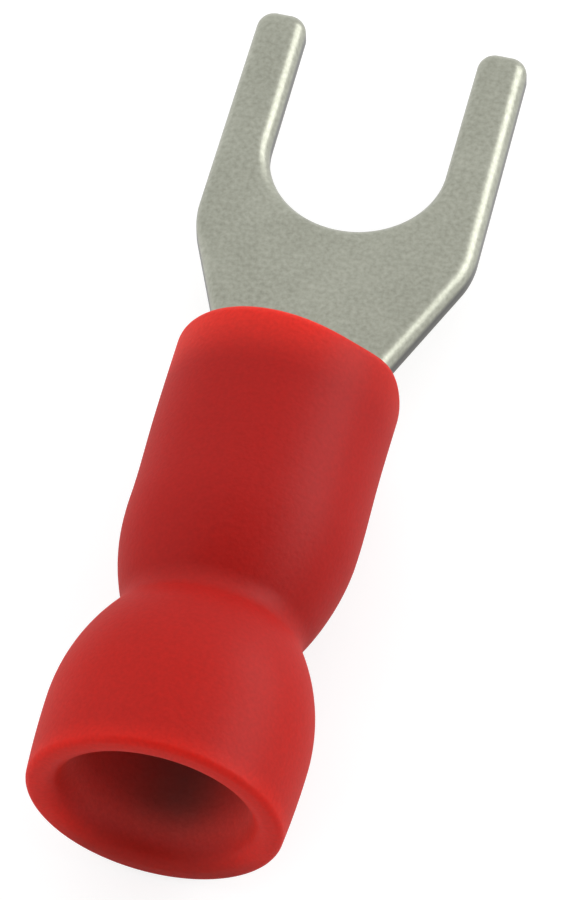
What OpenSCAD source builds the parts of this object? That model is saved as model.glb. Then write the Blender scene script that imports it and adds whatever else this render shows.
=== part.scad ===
// Fork terminal with its insulating sleeve, for crimping onto a thin stranded wire.
// Lengths are in millimetres. The origin is the stud's centre on the tongue's underside,
// +Y points along the barrel's axis to the prong tips and +Z points up from the tongue.

/* [Tongue] */
// Thickness of the sheet that the whole lug is stamped and rolled from
sheet_t = 0.7; // [0.6:0.05:0.8]
// Width across both prongs at the shoulders
tongue_w = 6.0; // [5.6:0.1:7]
// Width of the slot, and diameter of its round bottom
slot_w = 3.75; // [3.2:0.05:4]
// Distance from the stud's centre to the prong tips
tip_reach = 3.3; // [2.5:0.05:5]
// Amount by which each prong's outer edge draws in towards its tip
tip_draw_in = 0.06; // [0:0.01:0.12]
// Corner radius of the prong tips
tip_corner_r = 0.38; // [0.1:0.02:0.42]
// Distance from the stud's centre back to the shoulders
shoulder_back = 2.28; // [2.1:0.02:2.8]
// Radius that softens each shoulder
shoulder_r = 2.0; // [0.5:0.1:2.5]
// Angle between the neck's edges and the axis
neck_angle = 23; // [18:0.2:25]
// Length in front of the sleeve over which the curled sheet flattens into the tongue
curl_len = 1.2; // [1:0.1:1.6]
// Height of the tongue's underside above the barrel's lowest line
tongue_lift = 0.1; // [0:0.05:0.4]

/* [Barrel] */
// Diameter of the bore that takes the bare conductor
barrel_bore_d = 1.7; // [1.5:0.05:1.9]
// Length of the closed round barrel
barrel_len = 4.6; // [4:0.1:4.8]
// Angle from the barrel's lowest line to where its closed wall starts to fall away
wall_angle = 150; // [120:5:160]

/* [Sleeve] */
// Length of the insulating sleeve
sleeve_len = 10.9; // [10.6:0.1:11.3]
// Outer diameter of the sleeve over the barrel
sleeve_d = 4.78; // [4.6:0.02:5.2]
// Distance from the stud's centre back to the sleeve's mouth
mouth_back = 17.1; // [16.9:0.05:17.5]
// Radius that softens the sleeve's end at the tongue
sleeve_end_r = 0.25; // [0.05:0.05:0.4]
// Distance from the mouth to the crease at the waist
crease_from_mouth = 4.46; // [4.2:0.02:4.6]
// Diameter at which the curves of the flare and the body meet in the crease
crease_d = 3.6; // [3.4:0.02:3.8]
// Radius that fills the crease
crease_fillet_r = 0.7; // [0.1:0.05:0.9]
// Length over which the sleeve rounds in from its full diameter to the crease
waist_round_len = 2.4; // [2:0.05:3]
// Largest outer diameter of the flared mouth
mouth_d = 5.42; // [5.3:0.02:6]
// Distance from the mouth to the flare's largest diameter
flare_from_mouth = 1.85; // [1.4:0.05:2]
// Amount by which the flare's radius draws in from its widest place to the rim
rim_draw_in = 0.08; // [0.02:0.01:0.15]
// Radius that softens the rim's outer edge
rim_edge_r = 0.15; // [0.05:0.05:0.3]
// Diameter of the mouth, which takes the wire's insulation
mouth_bore_d = 3.5; // [3.3:0.05:3.7]
// Depth of the mouth before it narrows
mouth_depth = 2.4; // [2:0.1:2.6]
// Depth over which the mouth's wall curves out to the rim
mouth_lead_len = 1.3; // [1:0.1:1.6]
// Amount by which the mouth's radius grows over that depth
mouth_lead_out = 0.38; // [0.2:0.02:0.4]
// Radius that softens the mouth's inner edge
mouth_edge_r = 0.4; // [0.05:0.05:0.45]
// Diameter of the throat that guides the conductor into the barrel
throat_d = 2.0; // [1.95:0.05:2.2]
// Radial gap between the barrel and the sleeve
sleeve_gap = 0.02; // [0.01:0.01:0.05]
// Distance from the mouth to the step that the barrel's end sits on
step_from_mouth = 5.1; // [4.9:0.1:5.2]

/* [Hidden] */
$fn = 96;

tin_colour = [0.63, 0.64, 0.57];
red_colour = [0.74, 0.17, 0.16];

// Overlap that keeps joined and cut solids from meeting in one plane
lap = 0.1;
// Inset that keeps the curled stretch's ends inside the pieces it joins
curl_inset = 0.01;
// Angle in radians across the sheet below which it counts as flat
flat_turn = 0.001;
curl_rows = 18;
curl_columns = 24;

barrel_r = barrel_bore_d / 2 + sheet_t;
axis_z = barrel_r - tongue_lift;
barrel_rear_y = step_from_mouth - mouth_back;
barrel_front_y = barrel_rear_y + barrel_len;
sleeve_front_y = sleeve_len - mouth_back;
// Where the flat sheet ends
flat_end_y = sleeve_front_y + curl_len;

sleeve_r = sleeve_d / 2;
mouth_r = mouth_d / 2;
crease_r = crease_d / 2;

// Radius of an arc that leaves a straight line and falls by drop over length
function falling_arc_r(length, drop) = (length * length + drop * drop) / (2 * drop);

// Half width of the flat sheet at y, between the shoulders and the neck
function neck_half_w(y) = tongue_w / 2 - (-shoulder_back - y) * tan(neck_angle);

// Smooth step from 0 to 1 as t runs from 0 to 1
function ease(t) = (1 - cos(180 * min(max(t, 0), 1))) / 2;

function unit(v) = v / norm(v);

// Directions in which an outline leaves its corner i, and half the angle between them
function way_back(outline, i) = unit(outline[(i + len(outline) - 1) % len(outline)] - outline[i]);
function way_on(outline, i) = unit(outline[(i + 1) % len(outline)] - outline[i]);
function half_angle(outline, i) = acos(way_back(outline, i) * way_on(outline, i)) / 2;
function trimmed(outline, i, r) = r == 0
    ? [outline[i]]
    : [
        outline[i] + way_back(outline, i) * r / tan(half_angle(outline, i)),
        outline[i] + way_on(outline, i) * r / tan(half_angle(outline, i))
    ];
function round_centre(outline, i, r) =
    outline[i] + unit(way_back(outline, i) + way_on(outline, i)) * r / sin(half_angle(outline, i));

// An outline whose outward corners are rounded by true arcs
module rounded_outline(outline, radii) {
    polygon([
        for (i = [0 : len(outline) - 1])
            for (p = trimmed(outline, i, radii[i])) p
    ]);
    for (i = [0 : len(outline) - 1]) {
        if (radii[i] > 0) {
            translate(round_centre(outline, i, radii[i])) circle(r = radii[i]);
        }
    }
}

// Right half of the tongue's outline, from the neck round the prong to the slot's bottom
tongue_half = [
    [neck_half_w(flat_end_y), flat_end_y],
    [tongue_w / 2, -shoulder_back],
    [tongue_w / 2 - tip_draw_in, tip_reach],
    [slot_w / 2, tip_reach],
    [slot_w / 2, 0]
];
tongue_half_radii = [0, shoulder_r, tip_corner_r, tip_corner_r, 0];
tongue_last = len(tongue_half) - 1;
tongue_outline = concat(
    tongue_half,
    [for (i = [tongue_last : -1 : 0]) [-tongue_half[i].x, tongue_half[i].y]]
);
tongue_radii = concat(
    tongue_half_radii,
    [for (i = [tongue_last : -1 : 0]) tongue_half_radii[i]]
);

// Flat tongue with its two prongs; the slot's bottom is a true cylinder about the stud
module tongue() {
    difference() {
        linear_extrude(sheet_t) rounded_outline(tongue_outline, tongue_radii);
        translate([0, 0, -lap]) cylinder(d = slot_w, h = sheet_t + 2 * lap);
    }
}

// Stretch in which the round barrel opens out and flattens into the tongue:
// one sheet of even thickness, bent less and less from the sleeve's end to the tongue
curl_rear_y = barrel_front_y - lap;
curl_front_y = flat_end_y + lap;
curl_sheet_t = sheet_t - 2 * curl_inset;
barrel_mid_r = (barrel_bore_d + sheet_t) / 2;
barrel_half_w = barrel_mid_r * wall_angle * PI / 180;
function curl_y(row) = curl_rear_y + (curl_front_y - curl_rear_y) * row / curl_rows;
// Share of the way from the sleeve's end to the flat sheet
function opened(y) = ease((y - sleeve_front_y) / curl_len);
function curl_bend(y) = (1 - opened(y)) / barrel_mid_r;
function curl_mid_z(y) = sheet_t / 2 - tongue_lift * (1 - opened(y));
// The wall's edges have fallen to the neck's own edges halfway between the sleeve and the flat sheet
wall_low_y = (sleeve_front_y + flat_end_y) / 2;
function curl_half_w(y) = y < wall_low_y
    ? barrel_half_w + (neck_half_w(wall_low_y) - barrel_half_w)
        * ease((y - barrel_front_y) / (wall_low_y - barrel_front_y))
    : neck_half_w(y) - curl_inset;
// Point at distance s from the lowest line and h from the middle of the sheet
function curl_point(y, s, h) = curl_bend(y) * curl_half_w(y) < flat_turn
    ? [s, y, curl_mid_z(y) + h]
    : let (r = 1 / curl_bend(y), turn = s / r * 180 / PI)
        [(r - h) * sin(turn), y, curl_mid_z(y) + r - (r - h) * cos(turn)];
curl_ring = 2 * (curl_columns + 1);
curl_points = [
    for (row = [0 : curl_rows])
        let (y = curl_y(row), w = curl_half_w(y))
            for (side = [-1, 1])
                for (column = [0 : curl_columns])
                    curl_point(y, side * w * (1 - 2 * column / curl_columns), -side * curl_sheet_t / 2)
];

module curl() {
    last = curl_rows * curl_ring;
    polyhedron(
        points = curl_points,
        faces = concat(
            [
                for (row = [0 : curl_rows - 1])
                    for (k = [0 : curl_ring - 1])
                        for (half = [0, 1])
                            let (
                                a = row * curl_ring + k,
                                b = row * curl_ring + (k + 1) % curl_ring
                            )
                                half == 0 ? [a, a + curl_ring, b] : [b, a + curl_ring, b + curl_ring]
            ],
            [
                for (k = [0 : curl_columns - 1])
                    for (half = [0, 1])
                        let (m = curl_ring - 1 - k)
                            half == 0 ? [k, k + 1, m] : [m, k + 1, m - 1]
            ],
            [
                for (k = [0 : curl_columns - 1])
                    for (half = [0, 1])
                        let (m = curl_ring - 1 - k)
                            half == 0
                                ? [last + k, last + m, last + k + 1]
                                : [last + m, last + m - 1, last + k + 1]
            ]
        )
    );
}

// Puts something drawn upwards from zero onto the barrel's axis, starting at y
module on_axis(y) {
    translate([0, y, axis_z]) rotate([-90, 0, 0]) children();
}

module barrel() {
    on_axis(barrel_rear_y) difference() {
        cylinder(r = barrel_r, h = barrel_len);
        translate([0, 0, -lap]) cylinder(d = barrel_bore_d, h = barrel_len + 2 * lap);
    }
}

module fork_lug() {
    color(tin_colour) union() {
        tongue();
        curl();
        barrel();
    }
}

// Part of a profile under an arc that is upright at height y and radius r
module arc_band(r, arc_r, y, low, high) {
    intersection() {
        translate([0, low]) square([r, high - low]);
        translate([r - arc_r, y]) circle(r = arc_r, $fn = 360);
    }
}

waist_y = crease_from_mouth + waist_round_len;
rim_arc_r = falling_arc_r(flare_from_mouth, rim_draw_in);
shoulder_arc_r = falling_arc_r(crease_from_mouth - flare_from_mouth, mouth_r - crease_r);
waist_arc_r = falling_arc_r(waist_round_len, sleeve_r - crease_r);
// Outer radius of the flare at distance y from the mouth, between the rim and the widest place
function flare_r(y) = mouth_r - rim_arc_r + sqrt(pow(rim_arc_r, 2) - pow(flare_from_mouth - y, 2));

// The fillet's circle touches both arcs from outside
shoulder_centre = [mouth_r - shoulder_arc_r, flare_from_mouth];
waist_centre = [sleeve_r - waist_arc_r, waist_y];
centre_line = unit(waist_centre - shoulder_centre);
centre_gap = norm(waist_centre - shoulder_centre);
shoulder_reach = shoulder_arc_r + crease_fillet_r;
waist_reach = waist_arc_r + crease_fillet_r;
fillet_along = (pow(shoulder_reach, 2) - pow(waist_reach, 2) + pow(centre_gap, 2)) / (2 * centre_gap);
fillet_out = sqrt(pow(shoulder_reach, 2) - pow(fillet_along, 2));
fillet_centre = shoulder_centre + fillet_along * centre_line + fillet_out * [centre_line.y, -centre_line.x];

// Filling of the crease between the two places where its circle touches the arcs
module crease_fillet() {
    difference() {
        polygon([
            [crease_r - lap, crease_from_mouth],
            shoulder_centre + unit(fillet_centre - shoulder_centre) * shoulder_arc_r,
            fillet_centre,
            waist_centre + unit(fillet_centre - waist_centre) * waist_arc_r
        ]);
        translate(fillet_centre) circle(r = crease_fillet_r);
    }
}

// Profile of a full band of radius r with a rounded edge at height y
module edge_band(r, edge_r, y, low, high) {
    translate([0, low]) square([r - edge_r, high - low]);
    translate([r - edge_r, y]) circle(r = edge_r);
}

// Outside of the sleeve as one turned profile: the flared mouth, the crease and the body over the barrel
module sleeve_outside() {
    end_y = sleeve_len - sleeve_end_r;
    rotate_extrude() {
        edge_band(flare_r(rim_edge_r), rim_edge_r, rim_edge_r, 0, rim_edge_r + lap);
        arc_band(mouth_r, rim_arc_r, flare_from_mouth, rim_edge_r, flare_from_mouth);
        arc_band(mouth_r, shoulder_arc_r, flare_from_mouth, flare_from_mouth, crease_from_mouth);
        crease_fillet();
        arc_band(sleeve_r, waist_arc_r, waist_y, crease_from_mouth, waist_y);
        translate([0, waist_y]) square([sleeve_r, end_y - waist_y]);
        edge_band(sleeve_r, sleeve_end_r, end_y, end_y - lap, sleeve_len);
    }
}

// The mouth's inner edge is an arc that touches the rim's plane and the arc of the lead-in
mouth_bore_r = mouth_bore_d / 2;
lead_arc_r = falling_arc_r(mouth_lead_len, mouth_lead_out);
lead_centre = [mouth_bore_r + lead_arc_r, mouth_lead_len];
edge_x = lead_centre.x - sqrt(pow(lead_arc_r - mouth_edge_r, 2) - pow(mouth_lead_len - mouth_edge_r, 2));
edge_centre = [edge_x, mouth_edge_r];
edge_touch = lead_centre + unit(edge_centre - lead_centre) * lead_arc_r;

// Space inside the mouth: a softened edge, a trumpet-shaped lead-in, a straight stretch and a funnel
module mouth_space() {
    rotate_extrude() {
        difference() {
            translate([0, -lap]) square([edge_x, edge_touch.y + lap]);
            translate(edge_centre) circle(r = mouth_edge_r);
        }
        difference() {
            translate([0, edge_touch.y]) square([edge_x, mouth_lead_len - edge_touch.y]);
            translate(lead_centre) circle(r = lead_arc_r, $fn = 360);
        }
    }
    cylinder(r = mouth_bore_r, h = mouth_depth);
    translate([0, 0, mouth_depth])
        cylinder(r1 = mouth_bore_r, r2 = throat_d / 2, h = crease_from_mouth - mouth_depth);
}

module insulating_sleeve() {
    color(red_colour) difference() {
        on_axis(-mouth_back) sleeve_outside();
        on_axis(-mouth_back) mouth_space();
        on_axis(-mouth_back + crease_from_mouth - lap)
            cylinder(d = throat_d, h = step_from_mouth - crease_from_mouth + 2 * lap);
        on_axis(barrel_rear_y)
            cylinder(r = barrel_r + sleeve_gap, h = sleeve_len - step_from_mouth + lap);
    }
}

fork_lug();
insulating_sleeve();
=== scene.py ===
"""Looks of the fork terminal: a matte tin-plated lug in a satin red sleeve on a white floor."""

import math

import bpy
import numpy as np
from mathutils import Matrix, Vector


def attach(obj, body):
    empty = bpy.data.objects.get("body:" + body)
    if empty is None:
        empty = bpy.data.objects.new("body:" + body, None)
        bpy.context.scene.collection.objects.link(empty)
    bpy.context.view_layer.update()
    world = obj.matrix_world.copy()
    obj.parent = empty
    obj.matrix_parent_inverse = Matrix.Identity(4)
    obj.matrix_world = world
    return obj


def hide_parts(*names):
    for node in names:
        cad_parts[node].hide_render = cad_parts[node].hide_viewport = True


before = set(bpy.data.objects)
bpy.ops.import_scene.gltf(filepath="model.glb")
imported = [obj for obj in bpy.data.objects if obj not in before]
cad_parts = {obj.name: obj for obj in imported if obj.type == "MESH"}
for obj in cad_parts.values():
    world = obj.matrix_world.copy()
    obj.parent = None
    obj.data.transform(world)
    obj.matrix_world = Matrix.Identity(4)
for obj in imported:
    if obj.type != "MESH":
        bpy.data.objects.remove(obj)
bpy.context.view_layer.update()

MM = 0.001

# Lug, in millimetres: the sizes of the CAD solid
SHEET = 0.7
HALF_W = 3.0
SLOT_R = 1.875
TIP_Y = 3.3
TIP_IN = 0.06
TIP_R = 0.38
SHOULDER_Y = -2.28
SHOULDER_R = 2.0
NECK_SLOPE = math.tan(math.radians(23))
CURL_Y = -5.0
LIFT = 0.1
BORE_R = 0.85
BARREL_R = BORE_R + SHEET
MID_R = BORE_R + SHEET / 2
AXIS_Z = BARREL_R - LIFT
BARREL_REAR = -12.0
BARREL_FRONT = -7.4
WALL_ANGLE = math.radians(150)
# How far the curled sheet runs into the closed barrel
CURL_LAP = 0.1
# Edges that stamping rolls over on the top and softens below
TOP_INSET = 0.34
TOP_DROP = 0.34
LOW_EDGE = 0.08

# Sleeve, measured along the axis from its mouth
MOUTH_Y = -17.1
SLEEVE_L = 10.9
SLEEVE_FRONT = MOUTH_Y + SLEEVE_L
SLEEVE_R = 2.39
END_R = 0.25
CREASE = 4.46
CREASE_R = 1.8
CREASE_FILL = 0.7
WAIST = 2.4
FLARE_R = 2.71
FLARE_AT = 1.85
RIM_R = 2.63
RIM_EDGE = 0.15
MOUTH_R = 1.75
MOUTH_DEPTH = 2.4
MOUTH_EDGE = 0.4
LEAD_L = 1.3
LEAD_OUT = 0.38
THROAT_R = 1.0
STEP = 5.1
POCKET_R = BARREL_R + 0.02
POCKET_EDGE = 0.08
# It sits a little askew on the barrel, and its end at the tongue is cut a little askew
LEAN = 0.0128
LEAN_Y = -11.0
SKEW = 0.2
SKEW_BACK = 0.07
SKEW_L = 2.5
# That end's right corner is cut back less: how much, at which angle round the axis, how wide
CORNER = 0.24
CORNER_AT = math.radians(22)
CORNER_WIDTH = math.radians(22)
# The rim's lower side is a little shorter, and the body bulges a little to the right
RIM_SKEW = 0.055
RIM_SKEW_L = 2.0
BULGE = 0.05
BULGE_Y = -9.9
BULGE_L = 1.2

# Numbers of points across the curled sheet, along it, round the barrel and round the sleeve
CURL_COLUMNS = 28
CURL_ROWS = 34
BARREL_SIDES = 96
SLEEVE_SIDES = 200

# Colours of the tin plate: its two tones, and the lower part of its sheared sides
TIN_DARK = (0.300, 0.307, 0.251)
TIN_PALE = (0.450, 0.459, 0.386)
TIN_LOW_SIDE = (0.064, 0.064, 0.057)
# Heights between which the sheared sides turn from bright to dark
SHEAR_TOP, SHEAR_LOW = 0.52, 0.26
# Depth of both materials' grain, in metres
GRAIN_DEPTH = 0.00002

# Colours of the red PVC
RED_BODY = (0.43, 0.011, 0.008)
# Painted light: the sleeve's end at the tongue is lighter, as where light shines through its thin
# end, and most on its left
RED_END_PAINTED_GLOW = (0.56, 0.023, 0.016)
RED_END_LEFT_PAINTED_GLOW = (0.76, 0.027, 0.016)
RED_FLARE = (0.52, 0.014, 0.009)
# Painted light: the mouth's rim is lighter, as where light shines through its thin edge
RED_RIM_PAINTED_LIGHT = (0.65, 0.017, 0.010)
# Painted shade: the rim's lower side is darker, as where the floor keeps light from it
RED_RIM_PAINTED_SHADE = (0.37, 0.011, 0.006)
# Painted light: the mouth's inner walls near the rim are lighter, as where light falls in on them
RED_WALL_PAINTED_LIGHT = (0.66, 0.052, 0.043)
# Painted shade: the throat is dark, most in its middle, as where little light reaches
RED_THROAT_PAINTED_SHADE = (0.27, 0.060, 0.050)
# Grey that its speckle multiplies the colours by, at its darkest
SPECKLE = 0.86

# Grey tones of the floor, and the light that it adds to what the camera sees of it
FLOOR_DARK, FLOOR_PALE = 0.36, 0.40
FLOOR_GLOW = 0.76
FLOOR_HALF = 600.0
# The floor keeps this far below the part, so that the flare's curve doesn't dip through it
FLOOR_GAP = 0.004

# Lamps, in metres: name, place, size, radiance, and whether the part mirrors it
LAMPS = (
    ("front", (-0.06, -0.15, 0.08), (0.26, 0.06), 1.6, False),
    ("left", (-0.13, 0.0, 0.06), (0.12, 0.1), 0.56, False),
    ("back", (0.0, 0.12, 0.1), (0.14, 0.1), 0.7, False),
    ("right", (0.12, 0.065, 0.057), (0.15, 0.09), 2.6, True),
)
LAMP_AIM = (0, -0.007, 0.001)
# Light tent: direction of its darker opening, cosines of the opening's inner and outer edge, levels
TENT_OPENING = (0.136, -0.555, 0.821)
TENT_INNER, TENT_OUTER = 0.95, 0.5
TENT_LEVEL, OPENING_LEVEL = 0.98, 0.21

# Camera, fitted to the photo's outline; its pivot and shift are in millimetres
PITCH, YAW, ROLL = (math.radians(angle) for angle in (-32.15, -9.67, -16.46))
PIVOT = np.array([0.0, -6.45, 1.3])
SHIFT = np.array([0.0825, 1.346, 0.0])
DISTANCE = 161.0
FOCAL_PIXELS = 7848.0
IMAGE_H = 900
SENSOR = 36


def add_mesh(name, points, faces, smooth=True):
    mesh = bpy.data.meshes.new(name)
    mesh.from_pydata([tuple(c * MM for c in p) for p in points], [], faces)
    mesh.validate()
    mesh.update()
    if smooth:
        mesh.shade_smooth()
    obj = bpy.data.objects.new(name, mesh)
    bpy.context.scene.collection.objects.link(obj)
    return obj


def ease(t):
    """Smooth step from 0 to 1 as t runs from 0 to 1."""
    t = min(max(t, 0.0), 1.0)
    return (1 - math.cos(math.pi * t)) / 2


def half_turn(angle):
    """The angle brought between minus half a turn and half a turn."""
    return (angle + math.pi) % (2 * math.pi) - math.pi


def arc(cx, cy, r, a0, a1, n):
    """Points on an arc from angle a0 to a1, in degrees, both ends included."""
    angles = [math.radians(a0 + (a1 - a0) * k / n) for k in range(n + 1)]
    return [(cx + r * math.cos(a), cy + r * math.sin(a)) for a in angles]


def arc_between(centre, r, start, end, n):
    """Points on the shorter arc about centre from the direction of start to that of end."""
    a0 = math.atan2(start[1] - centre[1], start[0] - centre[0])
    a1 = math.atan2(end[1] - centre[1], end[0] - centre[0])
    angles = [a0 + half_turn(a1 - a0) * k / n for k in range(n + 1)]
    return [(centre[0] + r * math.cos(a), centre[1] + r * math.sin(a)) for a in angles]


def rounded(prev, at, nxt, r, n):
    """The corner at, turned into n chords of a tangent arc of radius r."""
    prev, at, nxt = (np.array(p, float) for p in (prev, at, nxt))
    u = (prev - at) / np.linalg.norm(prev - at)
    v = (nxt - at) / np.linalg.norm(nxt - at)
    half = math.acos(float(u @ v)) / 2
    centre = at + (u + v) / np.linalg.norm(u + v) * r / math.sin(half)
    reach = r / math.tan(half)
    return arc_between(centre, r, at + u * reach, at + v * reach, n)


def divided(a, b, n):
    """The n - 1 points between a and b."""
    return [(a[0] + (b[0] - a[0]) * k / n, a[1] + (b[1] - a[1]) * k / n) for k in range(1, n)]


def neck_half(y):
    return HALF_W - (SHOULDER_Y - y) * NECK_SLOPE


def tongue_path():
    """Outline of the flat tongue from its right neck round both prongs to its left neck."""
    neck = (neck_half(CURL_Y), CURL_Y)
    shoulder = (HALF_W, SHOULDER_Y)
    tip_out = (HALF_W - TIP_IN, TIP_Y)
    tip_in = (SLOT_R, TIP_Y)
    bottom = (SLOT_R, 0.0)
    turn = rounded(neck, shoulder, tip_out, SHOULDER_R, 10)
    out = rounded(shoulder, tip_out, tip_in, TIP_R, 12)
    inner = rounded(tip_out, tip_in, bottom, TIP_R, 12)
    right = [neck] + divided(neck, turn[0], 10) + turn + divided(turn[-1], out[0], 16) + out
    right += inner + divided(inner[-1], bottom, 12) + arc(0, 0, SLOT_R, 0, -90, 32)
    return right + [(-x, y) for x, y in reversed(right[:-1])]


def edge_steps():
    """Inset and height of each ring round the sheet's edge, from the underside to the top."""
    low = [(LOW_EDGE * (1 - math.sin(a)), LOW_EDGE * (1 - math.cos(a)))
           for a in np.linspace(0, math.pi / 2, 5)]
    top = [(TOP_INSET * (1 - math.cos(a)), SHEET - TOP_DROP * (1 - math.sin(a)))
           for a in np.linspace(0, math.pi / 2, 9)]
    return low + top


def bend(y, s, h):
    """Point of the sheet at distance s from its middle line and height h above its underside."""
    opened = ease((y - SLEEVE_FRONT) / (CURL_Y - SLEEVE_FRONT))
    mid_z = SHEET / 2 - LIFT * (1 - opened)
    curve = (1 - opened) / MID_R
    h = h - SHEET / 2
    if curve < 1e-4:
        return (s, y, mid_z + h)
    r = 1 / curve
    return ((r - h) * math.sin(s / r), y, mid_z + r - (r - h) * math.cos(s / r))


def curl_half(y):
    """Half width of the sheet at y, measured along its bend."""
    low_y = (SLEEVE_FRONT + CURL_Y) / 2
    if y >= low_y:
        return neck_half(y)
    wide = MID_R * WALL_ANGLE
    fallen = ease((y - BARREL_FRONT) / (low_y - BARREL_FRONT))
    return wide + (neck_half(low_y) - wide) * fallen


def add_tongue_edge(points, faces, path, steps):
    """Rings round the tongue's outline, from its underside to its top."""
    ahead = np.vstack([path[1:], path[-1:] + (path[-1:] - path[-2:-1])])
    behind = np.vstack([path[:1] - (path[1:2] - path[:1]), path[:-1]])
    tangent = ahead - behind
    tangent /= np.linalg.norm(tangent, axis=1)[:, None]
    inward = np.stack([-tangent[:, 1], tangent[:, 0]], 1)
    # At the two neck ends the inset runs across the sheet, as in the curled rows
    inward[0], inward[-1] = (-1, 0), (1, 0)
    count = len(path)
    for inset, height in steps:
        for (x, y), (nx, ny) in zip(path, inward):
            points.append((x + nx * inset, y + ny * inset, height))
    for k in range(len(steps) - 1):
        for i in range(count - 1):
            a = k * count + i
            faces.append((a, a + 1, a + 1 + count, a + count))


def add_curl(points, faces, count, steps):
    """Rows of the curled sheet, each a closed loop round its section; returns the first loop."""
    rings = len(steps)
    loops = []
    for j, y in enumerate(np.linspace(CURL_Y, BARREL_FRONT - CURL_LAP, CURL_ROWS)):
        y = float(y)
        w = curl_half(y)
        loop = []

        def add(s, h):
            points.append(bend(y, s, h))
            loop.append(len(points) - 1)

        # The first row's edges are the ends of the tongue's rings
        for k, (inset, height) in enumerate(steps):
            if j == 0:
                loop.append(k * count)
            else:
                add(w - inset, height)
        top_w = w - steps[-1][0]
        for c in range(1, CURL_COLUMNS):
            add(top_w * (1 - 2 * c / CURL_COLUMNS), SHEET)
        for k in reversed(range(rings)):
            inset, height = steps[k]
            if j == 0:
                loop.append(k * count + count - 1)
            else:
                add(inset - w, height)
        low_w = w - steps[0][0]
        for c in range(1, CURL_COLUMNS):
            add(-low_w * (1 - 2 * c / CURL_COLUMNS), 0.0)
        loops.append(loop)
    size = len(loops[0])
    for a, b in zip(loops, loops[1:]):
        for i in range(size):
            n = (i + 1) % size
            faces.append((a[i], a[n], b[n], b[i]))
    return loops[0]


def add_barrel(points, faces):
    start = len(points)
    profile = ((BARREL_R, BARREL_REAR), (BARREL_R, BARREL_FRONT),
               (BORE_R, BARREL_FRONT), (BORE_R, BARREL_REAR))
    for r, y in profile:
        for k in range(BARREL_SIDES):
            t = 2 * math.pi * k / BARREL_SIDES
            points.append((r * math.cos(t), y, AXIS_Z + r * math.sin(t)))
    corners = len(profile)
    for p in range(corners):
        a, b = start + p * BARREL_SIDES, start + (p + 1) % corners * BARREL_SIDES
        for k in range(BARREL_SIDES):
            n = (k + 1) % BARREL_SIDES
            faces.append((a + k, b + k, b + n, a + n))


def build_lug():
    path = np.array(tongue_path())
    steps = edge_steps()
    count, rings = len(path), len(steps)
    points, faces = [], []
    add_tongue_edge(points, faces, path, steps)
    first = add_curl(points, faces, count, steps)
    # Flat faces of the tongue, each closed by the first row's columns
    top_row = first[rings:rings + CURL_COLUMNS - 1]
    low_row = first[2 * rings + CURL_COLUMNS - 1:]
    top_ring = [(rings - 1) * count + i for i in range(count)]
    faces.append(tuple(top_ring + top_row[::-1]))
    faces.append(tuple((list(range(count)) + low_row)[::-1]))
    add_barrel(points, faces)
    return add_mesh("lug_look", points, faces)


def falling_arc_r(length, drop):
    """Radius of an arc that leaves the axis direction and falls by drop over length."""
    return (length * length + drop * drop) / (2 * drop)


def sleeve_outline():
    """The sleeve's outside as (radius, distance from the mouth), from the rim to the other end."""
    rim_arc = falling_arc_r(FLARE_AT, FLARE_R - RIM_R)
    shoulder_arc = falling_arc_r(CREASE - FLARE_AT, FLARE_R - CREASE_R)
    waist_arc = falling_arc_r(WAIST, SLEEVE_R - CREASE_R)
    waist_y = CREASE + WAIST
    rim = np.array([FLARE_R - rim_arc, FLARE_AT])
    shoulder = np.array([FLARE_R - shoulder_arc, FLARE_AT])
    waist = np.array([SLEEVE_R - waist_arc, waist_y])
    # The crease's filling touches both arcs from outside
    gap = np.linalg.norm(waist - shoulder)
    u = (waist - shoulder) / gap
    reach_a, reach_b = shoulder_arc + CREASE_FILL, waist_arc + CREASE_FILL
    along = (reach_a ** 2 - reach_b ** 2 + gap ** 2) / (2 * gap)
    off = math.sqrt(reach_a ** 2 - along ** 2)
    fill = shoulder + along * u + off * np.array([u[1], -u[0]])
    touch_a = shoulder + (fill - shoulder) * shoulder_arc / reach_a
    touch_b = waist + (fill - waist) * waist_arc / reach_b
    rim_r = rim[0] + math.sqrt(rim_arc ** 2 - (FLARE_AT - RIM_EDGE) ** 2)
    widest = (FLARE_R, FLARE_AT)
    body_end = SLEEVE_L - END_R
    line = arc(rim_r - RIM_EDGE, RIM_EDGE, RIM_EDGE, -90, 0, 8)
    line += arc_between(rim, rim_arc, (rim_r, RIM_EDGE), widest, 14)[1:]
    line += arc_between(shoulder, shoulder_arc, widest, touch_a, 30)[1:]
    line += arc_between(fill, CREASE_FILL, touch_a, touch_b, 16)[1:]
    line += arc_between(waist, waist_arc, touch_b, (SLEEVE_R, waist_y), 30)[1:]
    line += [(SLEEVE_R, float(y)) for y in np.linspace(waist_y, body_end, 16)[1:-1]]
    return line + arc(SLEEVE_R - END_R, body_end, END_R, 0, 90, 10)


def mouth_outline():
    """Curve from the mouth's straight stretch out over its lead-in and inner edge to the rim."""
    lead_r = falling_arc_r(LEAD_L, LEAD_OUT)
    lead = np.array([MOUTH_R + lead_r, LEAD_L])
    across = math.sqrt((lead_r - MOUTH_EDGE) ** 2 - (LEAD_L - MOUTH_EDGE) ** 2)
    edge = np.array([lead[0] - across, MOUTH_EDGE])
    touch = lead + (edge - lead) * lead_r / (lead_r - MOUTH_EDGE)
    line = arc_between(lead, lead_r, (MOUTH_R, LEAD_L), touch, 14)
    return line + arc_between(edge, MOUTH_EDGE, touch, (edge[0], 0.0), 10)[1:]


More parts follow.
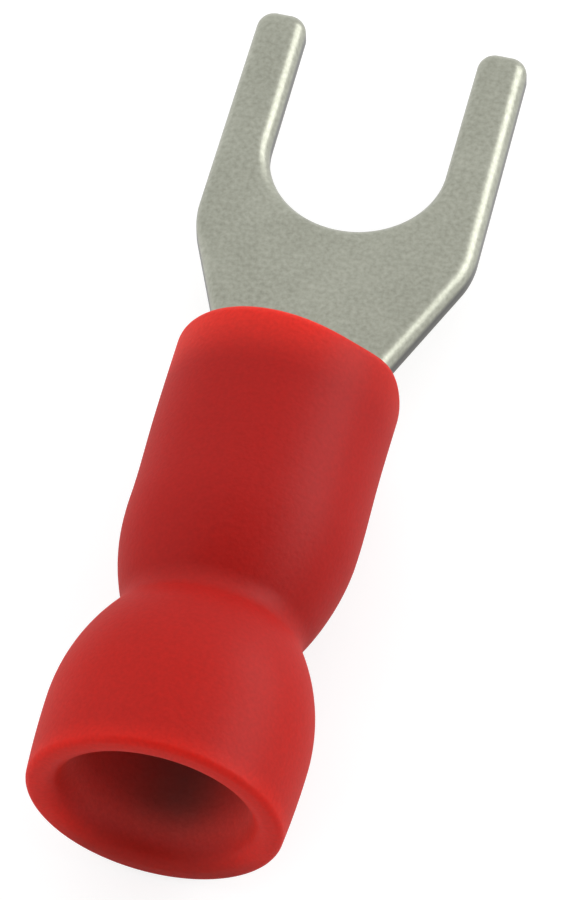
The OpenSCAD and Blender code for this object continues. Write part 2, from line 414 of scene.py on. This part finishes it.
def sleeve_path():
    """Closed section of the sleeve, from the throat out over the mouth and the body and back."""
    path = [(THROAT_R, CREASE)]
    path += divided((THROAT_R, CREASE), (MOUTH_R, MOUTH_DEPTH), 10) + [(MOUTH_R, MOUTH_DEPTH)]
    path += [(MOUTH_R, float(y)) for y in np.linspace(MOUTH_DEPTH, LEAD_L, 6)[1:-1]]
    path += mouth_outline() + sleeve_outline()
    pocket_end = SLEEVE_L - POCKET_EDGE
    path += arc(POCKET_R + POCKET_EDGE, pocket_end, POCKET_EDGE, 90, 180, 4)
    path += [(POCKET_R, float(y)) for y in np.linspace(pocket_end, STEP, 12)[1:]]
    return path + [(THROAT_R, STEP), (THROAT_R, (STEP + CREASE) / 2)]


def sleeve_point(r, y, t):
    """Point of the sleeve at angle t round its axis, with the part's own small accidents."""
    corner = math.exp(-(half_turn(t - CORNER_AT) / CORNER_WIDTH) ** 2)
    cut = SKEW_BACK + SKEW * math.cos(t) - CORNER * corner
    skew = -ease((y - SLEEVE_L) / SKEW_L + 1) * cut
    skew += ease(1 - y / RIM_SKEW_L) * RIM_SKEW * (1 - math.sin(t))
    x = LEAN * (MOUTH_Y + y - LEAN_Y) + r * math.cos(t)
    x += BULGE * math.exp(-((MOUTH_Y + y - BULGE_Y) / BULGE_L) ** 2)
    return (x, MOUTH_Y + y + skew, AXIS_Z + r * math.sin(t))


def build_sleeve():
    path = sleeve_path()
    angles = [2 * math.pi * k / SLEEVE_SIDES for k in range(SLEEVE_SIDES)]
    points = [sleeve_point(r, y, t) for r, y in path for t in angles]
    faces = []
    rows = len(path)
    for p in range(rows):
        a, b = p * SLEEVE_SIDES, (p + 1) % rows * SLEEVE_SIDES
        for k in range(SLEEVE_SIDES):
            n = (k + 1) % SLEEVE_SIDES
            faces.append((a + k, a + n, b + n, b + k))
    return add_mesh("sleeve_look", points, faces)


class Graph:
    """Node graph of a new material, with the kinds of node that the materials share."""

    def __init__(self, name):
        self.material = bpy.data.materials.new(name)
        self.material.use_nodes = True
        self.nodes = self.material.node_tree.nodes
        self.nodes.clear()
        self.link = self.material.node_tree.links.new
        self.coords = self.node("TexCoord").outputs

    def node(self, kind, **settings):
        node = self.nodes.new("ShaderNode" + kind)
        for key, value in settings.items():
            setattr(node, key, value)
        return node

    def finish(self, shader):
        self.link(shader.outputs[0], self.node("OutputMaterial").inputs[0])
        return self.material

    def axes(self, vector):
        split = self.node("SeparateXYZ")
        self.link(vector, split.inputs[0])
        return split.outputs

    def noise(self, scale, detail):
        noise = self.node("TexNoise")
        noise.inputs["Scale"].default_value = scale
        noise.inputs["Detail"].default_value = detail
        self.link(self.coords["Object"], noise.inputs["Vector"])
        return noise.outputs["Fac"]

    def ramp(self, factor, low, high, start=0.3, end=0.7):
        """The colour low up to start, high from end on, and their mix between."""
        ramp = self.node("ValToRGB")
        first, last = ramp.color_ramp.elements
        first.position, last.position = start, end
        first.color, last.color = (*low, 1), (*high, 1)
        self.link(factor, ramp.inputs[0])
        return ramp.outputs[0]

    def step(self, value, start, end):
        """Smooth step from 0 where value is start to 1 where it is end."""
        rising = start < end
        step = self.node("MapRange", interpolation_type="SMOOTHSTEP")
        step.inputs["From Min"].default_value = min(start, end)
        step.inputs["From Max"].default_value = max(start, end)
        step.inputs["To Min"].default_value = 0.0 if rising else 1.0
        step.inputs["To Max"].default_value = 1.0 if rising else 0.0
        self.link(value, step.inputs["Value"])
        return step.outputs[0]

    def maths(self, operation, *values):
        node = self.node("Math", operation=operation)
        for value, socket in zip(values, node.inputs):
            self.link(value, socket)
        return node.outputs[0]

    def both(self, first, second):
        return self.maths("MULTIPLY", first, second)

    def over(self, below, factor, colour):
        """The colour laid over what is below, by factor."""
        mix = self.node("Mix", data_type="RGBA")
        mix.inputs["B"].default_value = (*colour, 1)
        self.link(factor, mix.inputs["Factor"])
        if isinstance(below, tuple):
            mix.inputs["A"].default_value = (*below, 1)
        else:
            self.link(below, mix.inputs["A"])
        return mix.outputs["Result"]

    def bump(self, height, strength):
        bump = self.node("Bump")
        bump.inputs["Strength"].default_value = strength
        bump.inputs["Distance"].default_value = GRAIN_DEPTH
        self.link(height, bump.inputs["Height"])
        return bump.outputs[0]


def tin_material():
    graph = Graph("tin_plate")
    bsdf = graph.node("BsdfPrincipled")
    fine = graph.noise(10000, 4)
    broad = graph.noise(900, 3)
    mottle = graph.node("Mix", data_type="FLOAT")
    mottle.inputs["Factor"].default_value = 0.3
    graph.link(fine, mottle.inputs["A"])
    graph.link(broad, mottle.inputs["B"])
    plate = graph.ramp(mottle.outputs["Result"], TIN_DARK, TIN_PALE)
    # The lower part of the sheet's sheared sides is darker than its faces
    upright = graph.maths("ABSOLUTE", graph.axes(graph.coords["Normal"])["Z"])
    side = graph.step(upright, 0.45, 0.05)
    height = graph.axes(graph.coords["Object"])["Z"]
    low_side = graph.both(side, graph.step(height, SHEAR_TOP * MM, SHEAR_LOW * MM))
    graph.link(graph.over(plate, low_side, TIN_LOW_SIDE), bsdf.inputs["Base Color"])
    bsdf.inputs["Metallic"].default_value = 0.9
    bsdf.inputs["Roughness"].default_value = 0.36
    graph.link(graph.bump(fine, 0.1), bsdf.inputs["Normal"])
    return graph.finish(bsdf)


def axis_distance(graph):
    """Distance from the barrel's axis."""
    from_axis = graph.node("VectorMath", operation="SUBTRACT")
    from_axis.inputs[1].default_value = (0, 0, AXIS_Z * MM)
    graph.link(graph.coords["Object"], from_axis.inputs[0])
    flat = graph.node("VectorMath", operation="MULTIPLY")
    flat.inputs[1].default_value = (1, 0, 1)
    graph.link(from_axis.outputs[0], flat.inputs[0])
    length = graph.node("VectorMath", operation="LENGTH")
    graph.link(flat.outputs[0], length.inputs[0])
    return length.outputs["Value"]


def red_colour(graph):
    """Colour of the sleeve, with painted light on its thin ends, rim and mouth walls, as where
    light shines through or falls on them, and painted shade on its lower rim and throat, where
    little light reaches.
    """
    place = graph.axes(graph.coords["Object"])

    def along(axis, start, end):
        return graph.step(place[axis], start * MM, end * MM)

    both, over = graph.both, graph.over
    # Painted light: the end at the tongue is lightened as where light shines through it, most on
    # its left side
    end = along("Y", -7.7, -6.1)
    end_left_glow = both(end, along("X", 1.8, 0.5))
    # Painted shade: the lower side of the rim is darkened as where the floor keeps light from it
    rim_low_shade = both(along("Y", -16.2, -16.9), along("Z", AXIS_Z - 0.9, AXIS_Z - 2.2))
    within = graph.step(axis_distance(graph), 2.2 * MM, 1.9 * MM)
    inside = both(within, along("Y", -13.4, -14.0))
    # Painted light: the mouth's inner walls near the rim are lightened as where light falls in on
    # them
    wall_light = both(inside, along("Y", -17.1, -16.3))
    middle = both(along("X", -1.75, 0.1), along("X", 1.6, 0.1))
    # Painted shade: the throat is darkened, most in its middle, as where little light reaches
    throat = both(both(inside, middle), along("Y", -16.9, -15.6))
    colour = over(RED_BODY, end, RED_END_PAINTED_GLOW)
    colour = over(colour, end_left_glow, RED_END_LEFT_PAINTED_GLOW)
    colour = over(colour, along("Y", -13.0, -15.5), RED_FLARE)
    # Painted light: the rim is lightened as where light shines through its thin edge
    colour = over(colour, along("Y", -16.5, -17.05), RED_RIM_PAINTED_LIGHT)
    colour = over(colour, wall_light, RED_WALL_PAINTED_LIGHT)
    colour = over(colour, rim_low_shade, RED_RIM_PAINTED_SHADE)
    return over(colour, throat, RED_THROAT_PAINTED_SHADE)


def red_material():
    graph = Graph("red_pvc")
    bsdf = graph.node("BsdfPrincipled")
    speckled = graph.node("Mix", data_type="RGBA", blend_type="MULTIPLY")
    speckled.inputs["Factor"].default_value = 1.0
    speckle = graph.ramp(graph.noise(12000, 3), (SPECKLE,) * 3, (1.0,) * 3)
    graph.link(red_colour(graph), speckled.inputs["A"])
    graph.link(speckle, speckled.inputs["B"])
    graph.link(speckled.outputs["Result"], bsdf.inputs["Base Color"])
    # Its satin sheen is a thin coat, which stays weak at the sides
    for name, value in (
        ("Roughness", 0.65),
        ("IOR", 1.5),
        ("Specular IOR Level", 0.0),
        ("Coat Weight", 0.31),
        ("Coat Roughness", 0.44),
        ("Subsurface Weight", 0.6),
        ("Subsurface Radius", (1.0, 0.2, 0.15)),
        ("Subsurface Scale", 0.0006),
    ):
        bsdf.inputs[name].default_value = value
    grain = graph.bump(graph.noise(9000, 2), 0.4)
    graph.link(grain, bsdf.inputs["Normal"])
    graph.link(grain, bsdf.inputs["Coat Normal"])
    return graph.finish(bsdf)


def floor_material():
    """Grey under the lamps, so that it keeps the shadow, and white to the camera and mirrors."""
    graph = Graph("floor")
    matte = graph.node("BsdfDiffuse")
    tone = graph.ramp(graph.noise(300, 2), (FLOOR_DARK,) * 3, (FLOOR_PALE,) * 3, 0.0, 1.0)
    graph.link(tone, matte.inputs["Color"])
    rays = graph.node("LightPath").outputs
    seen = graph.maths("MAXIMUM", rays["Is Camera Ray"], rays["Is Glossy Ray"])
    seen = graph.maths("MAXIMUM", seen, rays["Is Transmission Ray"])
    level = graph.node("Math", operation="MULTIPLY")
    level.inputs[1].default_value = FLOOR_GLOW
    graph.link(seen, level.inputs[0])
    glow = graph.node("Emission")
    graph.link(level.outputs[0], glow.inputs["Strength"])
    added = graph.node("AddShader")
    graph.link(matte.outputs[0], added.inputs[0])
    graph.link(glow.outputs[0], added.inputs[1])
    return graph.finish(added)


def add_floor():
    """The floor touches the flare's underside and the sleeve's end at the tongue."""
    flare_low = Vector((0, MOUTH_Y + FLARE_AT, AXIS_Z - FLARE_R - FLOOR_GAP)) * MM
    end_low = Vector((0, SLEEVE_FRONT - END_R, AXIS_Z - SLEEVE_R - FLOOR_GAP)) * MM
    tilt = math.atan2(end_low.z - flare_low.z, end_low.y - flare_low.y)
    h = FLOOR_HALF
    corners = [(-h, -h, 0), (h, -h, 0), (h, h, 0), (-h, h, 0)]
    floor = add_mesh("floor", corners, [(0, 1, 2, 3)], smooth=False)
    floor.matrix_world = Matrix.Translation(flare_low) @ Matrix.Rotation(tilt, 4, "X")
    floor.data.materials.append(floor_material())
    return floor


def add_lamp(name, place, size, radiance, mirrored):
    data = bpy.data.lights.new(name, "AREA")
    data.shape = "RECTANGLE"
    data.size, data.size_y = size
    data.energy = radiance * math.pi * size[0] * size[1]
    lamp = bpy.data.objects.new(name, data)
    bpy.context.scene.collection.objects.link(lamp)
    lamp.visible_glossy = mirrored
    lamp.location = place
    aim = Vector(LAMP_AIM) - Vector(place)
    lamp.rotation_euler = aim.to_track_quat("-Z", "Y").to_euler()


def add_world():
    """A light tent: a bright surround with a darker opening towards the camera."""
    world = bpy.data.worlds.new("studio")
    bpy.context.scene.world = world
    world.use_nodes = True
    nodes, link = world.node_tree.nodes, world.node_tree.links.new
    direction = nodes.new("ShaderNodeTexCoord")
    toward = nodes.new("ShaderNodeVectorMath")
    toward.operation = "DOT_PRODUCT"
    toward.inputs[1].default_value = TENT_OPENING
    link(direction.outputs["Generated"], toward.inputs[0])
    level = nodes.new("ShaderNodeMapRange")
    level.interpolation_type = "SMOOTHSTEP"
    level.inputs["From Min"].default_value = TENT_OUTER
    level.inputs["From Max"].default_value = TENT_INNER
    level.inputs["To Min"].default_value = TENT_LEVEL
    level.inputs["To Max"].default_value = OPENING_LEVEL
    link(toward.outputs["Value"], level.inputs["Value"])
    background = nodes["Background"]
    background.inputs["Color"].default_value = (1, 1, 1, 1)
    link(level.outputs[0], background.inputs["Strength"])


def turn(axis, angle):
    return np.array(Matrix.Rotation(angle, 3, axis))


def add_camera():
    rows = turn("Z", ROLL) @ turn("X", PITCH) @ turn("Y", YAW)
    place = PIVOT + rows.T @ (np.array([0, 0, DISTANCE]) - SHIFT)
    data = bpy.data.cameras.new("camera")
    data.sensor_width = SENSOR
    data.lens = FOCAL_PIXELS / IMAGE_H * SENSOR
    data.clip_start = 0.01
    camera = bpy.data.objects.new("camera", data)
    bpy.context.scene.collection.objects.link(camera)
    matrix = Matrix(rows.T.tolist()).to_4x4()
    matrix.translation = Vector(place * MM)
    camera.matrix_world = matrix
    bpy.context.scene.camera = camera


lug = build_lug()
lug.data.materials.append(tin_material())
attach(lug, "root")
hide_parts("fork_lug")

sleeve = build_sleeve()
sleeve.data.materials.append(red_material())
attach(sleeve, "root")
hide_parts("insulating_sleeve")

floor = add_floor()

for lamp in LAMPS:
    add_lamp(*lamp)
add_world()
add_camera()
bpy.context.scene.view_settings.view_transform = "Standard"
